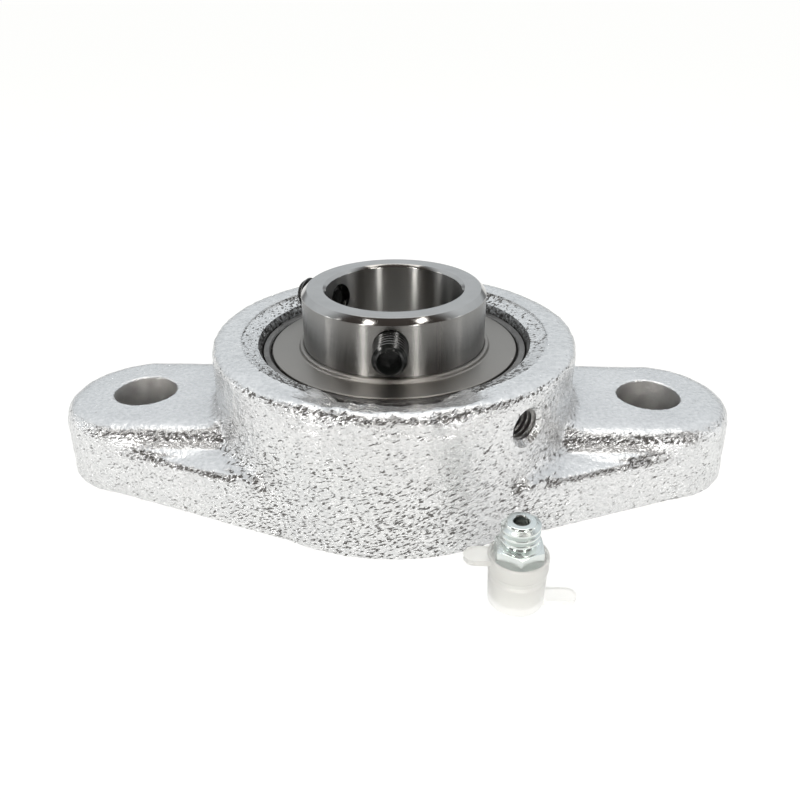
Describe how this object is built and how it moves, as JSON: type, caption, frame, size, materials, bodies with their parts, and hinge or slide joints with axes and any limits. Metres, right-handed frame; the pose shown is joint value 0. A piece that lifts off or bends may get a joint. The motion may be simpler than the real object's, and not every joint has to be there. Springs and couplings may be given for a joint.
{
  "type": "flange bearing",
  "caption": "Two-bolt flange bearing: rough zinc-coated cast housing with a self-aligning ball insert locked by set screws, and its grease nipple in a dust cap.",
  "frame": {"origin": "centre of the mounting face, under the shaft axis and midway between the bolt holes", "axes": "+Z along the shaft away from the mounting face, +X along the line of the bolt holes, -Y towards the grease nipple"},
  "size_m": [0.13, 0.0814, 0.0358],
  "materials": {
    "zinc_casting": "as-cast surface under a bright zinc coat",
    "ring_steel": "ground bright",
    "ball_steel": "polished",
    "cage_steel": "pressed sheet",
    "seal_rubber": "moulded",
    "slinger_steel": "satin pressed sheet",
    "black_oxide": "black oxide, oiled",
    "nipple_zinc": "bright zinc plate",
    "spring_steel": "drawn wire",
    "cap_plastic": "milky translucent"
  },
  "bodies": {
    "housing": {"housing": "zinc_casting"},
    "outer_ring": {"outer_ring": "ring_steel", "front_seal": "seal_rubber", "rear_seal": "seal_rubber"},
    "inner_ring": {"inner_ring": "ring_steel", "front_slinger": "slinger_steel", "rear_slinger": "slinger_steel"},
    "cage": {"cage_front_half": "cage_steel", "cage_rear_half": "cage_steel", "cage_rivets": "cage_steel"},
    "ball_1": {"ball_1": "ball_steel"},
    "ball_2": {"ball_2": "ball_steel"},
    "ball_3": {"ball_3": "ball_steel"},
    "ball_4": {"ball_4": "ball_steel"},
    "ball_5": {"ball_5": "ball_steel"},
    "ball_6": {"ball_6": "ball_steel"},
    "ball_7": {"ball_7": "ball_steel"},
    "ball_8": {"ball_8": "ball_steel"},
    "ball_9": {"ball_9": "ball_steel"},
    "set_screw_1": {"set_screw_1": "black_oxide"},
    "set_screw_2": {"set_screw_2": "black_oxide"},
    "dust_cap": {"dust_cap": "cap_plastic"},
    "nipple": {"nipple_body": "nipple_zinc", "check_spring": "spring_steel"},
    "check_ball": {"check_ball": "ball_steel"}
  },
  "joints": [
    {"name": "insert_swivel", "type": "hinge", "parent": "housing", "child": "outer_ring", "pos_m": [0, 0, 0.016], "axis": [1, 0, 0], "range_deg": [-2.5, 2.5]},
    {"name": "inner_ring_spin", "type": "hinge", "parent": "outer_ring", "child": "inner_ring", "pos_m": [0, 0, 0.016], "axis": [0, 0, 1], "continuous": true},
    {"name": "cage_spin", "type": "hinge", "parent": "outer_ring", "child": "cage", "pos_m": [0, 0, 0.016], "axis": [0, 0, 1], "continuous": true},
    {"name": "ball_1_roll", "type": "hinge", "parent": "cage", "child": "ball_1", "pos_m": [-0.00667, 0.01833, 0.016], "axis": [0, 0, 1], "continuous": true},
    {"name": "ball_2_roll", "type": "hinge", "parent": "cage", "child": "ball_2", "pos_m": [-0.01689, 0.00975, 0.016], "axis": [0, 0, 1], "continuous": true},
    {"name": "ball_3_roll", "type": "hinge", "parent": "cage", "child": "ball_3", "pos_m": [-0.0192, -0.00339, 0.016], "axis": [0, 0, 1], "continuous": true},
    {"name": "ball_4_roll", "type": "hinge", "parent": "cage", "child": "ball_4", "pos_m": [-0.01253, -0.01494, 0.016], "axis": [0, 0, 1], "continuous": true},
    {"name": "ball_5_roll", "type": "hinge", "parent": "cage", "child": "ball_5", "pos_m": [0, -0.0195, 0.016], "axis": [0, 0, 1], "continuous": true},
    {"name": "ball_6_roll", "type": "hinge", "parent": "cage", "child": "ball_6", "pos_m": [0.01253, -0.01494, 0.016], "axis": [0, 0, 1], "continuous": true},
    {"name": "ball_7_roll", "type": "hinge", "parent": "cage", "child": "ball_7", "pos_m": [0.0192, -0.00339, 0.016], "axis": [0, 0, 1], "continuous": true},
    {"name": "ball_8_roll", "type": "hinge", "parent": "cage", "child": "ball_8", "pos_m": [0.01689, 0.00975, 0.016], "axis": [0, 0, 1], "continuous": true},
    {"name": "ball_9_roll", "type": "hinge", "parent": "cage", "child": "ball_9", "pos_m": [0.00667, 0.01833, 0.016], "axis": [0, 0, 1], "continuous": true},
    {"name": "set_screw_1_travel", "type": "slide", "parent": "inner_ring", "child": "set_screw_1", "axis": [0, -1, 0], "range_m": [-0.0023, 0.0015]},
    {"name": "set_screw_2_travel", "type": "slide", "parent": "inner_ring", "child": "set_screw_2", "axis": [-0.866, 0.5, 0], "range_m": [-0.0005, 0.003]},
    {"name": "cap_lift", "type": "slide", "parent": "housing", "child": "dust_cap", "axis": [0, 0, 1], "range_m": [0, 0.03]},
    {"name": "nipple_pull", "type": "slide", "parent": "dust_cap", "child": "nipple", "axis": [0, 0, 1], "range_m": [0, 0.02]},
    {"name": "check_ball_lift", "type": "slide", "parent": "nipple", "child": "check_ball", "axis": [0, 0, 1], "range_m": [0, 0.0008], "stiffness_N_per_m": 200, "springref_m": -0.001, "deforming": ["check_spring"]}
  ],
  "couplings": [
    {"joint": "cage_spin", "follows": "inner_ring_spin", "ratio": 0.39824},
    {"joint": "ball_1_roll", "follows": "inner_ring_spin", "ratio": -2.3549},
    {"joint": "ball_2_roll", "follows": "inner_ring_spin", "ratio": -2.3549},
    {"joint": "ball_3_roll", "follows": "inner_ring_spin", "ratio": -2.3549},
    {"joint": "ball_4_roll", "follows": "inner_ring_spin", "ratio": -2.3549},
    {"joint": "ball_5_roll", "follows": "inner_ring_spin", "ratio": -2.3549},
    {"joint": "ball_6_roll", "follows": "inner_ring_spin", "ratio": -2.3549},
    {"joint": "ball_7_roll", "follows": "inner_ring_spin", "ratio": -2.3549},
    {"joint": "ball_8_roll", "follows": "inner_ring_spin", "ratio": -2.3549},
    {"joint": "ball_9_roll", "follows": "inner_ring_spin", "ratio": -2.3549}
  ]
}
